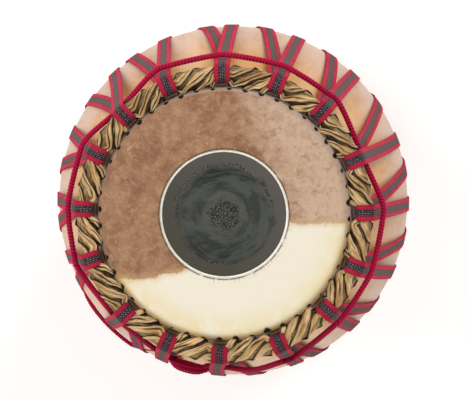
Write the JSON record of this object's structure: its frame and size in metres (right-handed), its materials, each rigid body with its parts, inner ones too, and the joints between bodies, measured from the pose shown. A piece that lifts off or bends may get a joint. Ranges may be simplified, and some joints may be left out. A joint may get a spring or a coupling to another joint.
{
  "type": "mridangam drum",
  "caption": "Barrel drum of turned wood with a treble head that has a black tuning patch, a plain bass head, plaited hoops, laced woven straps and a tie cord.",
  "frame": {"origin": "on the drum's axis, on the outer face of the bass head that it stands on", "axes": "+Z along the drum's axis from the bass head to the treble head, +Y towards the top of the picture, +X towards its right"},
  "size_m": [0.2648, 0.2647, 0.5702],
  "materials": {
    "jackwood": "varnished",
    "treble_ring_hide": "natural brown and cream hide",
    "bass_ring_hide": "natural hide",
    "main_hide": "scraped pale hide",
    "tuning_paste": "rubbed black paste",
    "plait_hide": "twisted raw hide",
    "strap_webbing": "woven, crimson edges and a dark middle",
    "tie_cord": "twisted crimson cord",
    "reed": "split reed"
  },
  "bodies": {
    "drum": {"shell": "jackwood", "treble_inner_ring_skin": "main_hide", "treble_outer_ring_skin": "treble_ring_hide", "reed_sliver_1": "reed", "reed_sliver_2": "reed", "reed_sliver_3": "reed", "reed_sliver_4": "reed", "reed_sliver_5": "reed", "reed_sliver_6": "reed", "reed_sliver_7": "reed", "reed_sliver_8": "reed", "bass_outer_ring_skin": "bass_ring_hide", "bass_plait": "plait_hide", "lacing_strap": "strap_webbing", "lacing_knot": "strap_webbing", "tie_cord": "tie_cord", "tie_knot": "tie_cord"},
    "treble_membrane": {"treble_main_skin": "main_hide", "treble_black_patch": "tuning_paste"},
    "bass_membrane": {"bass_main_skin": "main_hide"},
    "treble_hoop": {"treble_plait": "plait_hide"}
  },
  "joints": [
    {"name": "treble_head_strike", "type": "slide", "parent": "drum", "child": "treble_membrane", "axis": [0, 0, 1], "range_m": [-0.0006, 0.0006], "stiffness_N_per_m": 12000},
    {"name": "bass_head_strike", "type": "slide", "parent": "drum", "child": "bass_membrane", "axis": [0, 0, 1], "range_m": [-0.0006, 0.0006], "stiffness_N_per_m": 8000},
    {"name": "treble_plait_tuning", "type": "slide", "parent": "drum", "child": "treble_hoop", "axis": [0, 0, 1], "range_m": [-0.002, 0.002], "deforming": ["lacing_strap"]}
  ]
}
